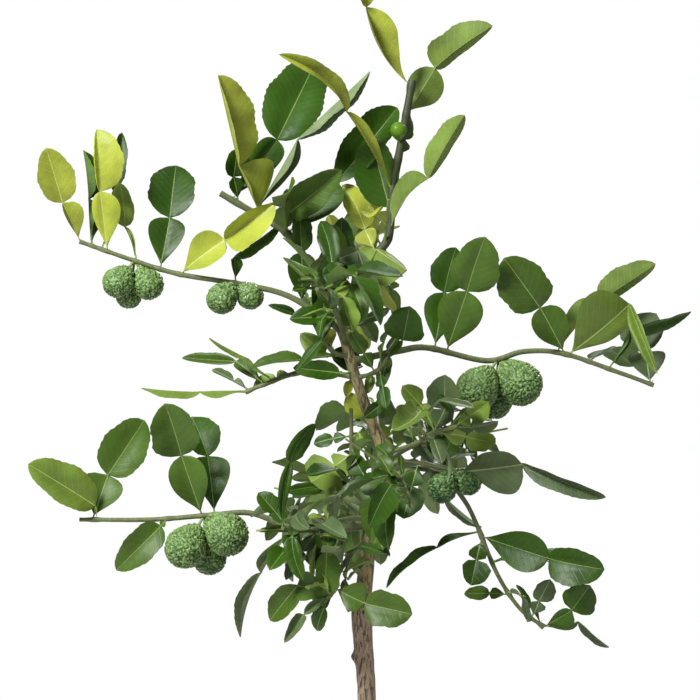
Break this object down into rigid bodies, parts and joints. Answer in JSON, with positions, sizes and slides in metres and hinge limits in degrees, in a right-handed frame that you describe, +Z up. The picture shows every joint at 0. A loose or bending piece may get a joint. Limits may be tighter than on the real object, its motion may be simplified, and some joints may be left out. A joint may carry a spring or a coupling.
{
  "type": "potted makrut lime tree",
  "caption": "Young citrus tree with hourglass-shaped double leaves and bumpy green fruit, on a slim crooked trunk in a plain round terracotta pot.",
  "frame": {"origin": "centre of the pot's flat underside", "axes": "+Z up along the trunk, +X to the right and +Y away from the viewer of the picture"},
  "size_m": [0.7283, 0.5824, 1.1873],
  "materials": {
    "pot": "matt unglazed fired clay",
    "soil": "moist crumbly bark and peat mix",
    "bark": "rough matt",
    "green_bark": "smooth satin",
    "leaf": "glossy upper side, matt underside",
    "fruit": "bumpy waxy rind"
  },
  "bodies": {
    "root": {"pot": "pot", "soil": "soil", "trunk": "bark", "bough_leader": "green_bark", "bough_upper_left": "green_bark", "bough_left_top": "green_bark", "bough_left_middle": "green_bark", "bough_left_lower": "green_bark", "bough_right_top": "green_bark", "bough_right_middle": "green_bark", "bough_right_lower": "green_bark", "bough_right_centre": "green_bark", "bough_left_cluster": "green_bark", "bough_front_low": "green_bark", "bough_front_mid": "green_bark", "bough_front_high": "green_bark", "bough_back_low": "green_bark", "bough_back_left": "green_bark", "bough_back_right": "green_bark", "bough_back_middle": "green_bark", "bough_back_high": "green_bark", "mass_leader": "leaf", "mass_upper_left": "leaf", "mass_left_top": "leaf", "mass_left_middle": "leaf", "mass_left_lower": "leaf", "mass_right_top": "leaf", "mass_right_middle": "leaf", "mass_right_lower": "leaf", "mass_right_centre": "leaf", "mass_left_cluster": "leaf", "mass_front_low": "leaf", "mass_front_mid": "leaf", "mass_front_high": "leaf", "mass_back_low": "leaf", "mass_back_left": "leaf", "mass_back_right": "leaf", "mass_back_middle": "leaf", "mass_back_high": "leaf", "mass_fork_twig_left": "leaf", "mass_fork_twig_right": "leaf", "mass_centre_twig": "leaf"}
  },
  "joints": []
}
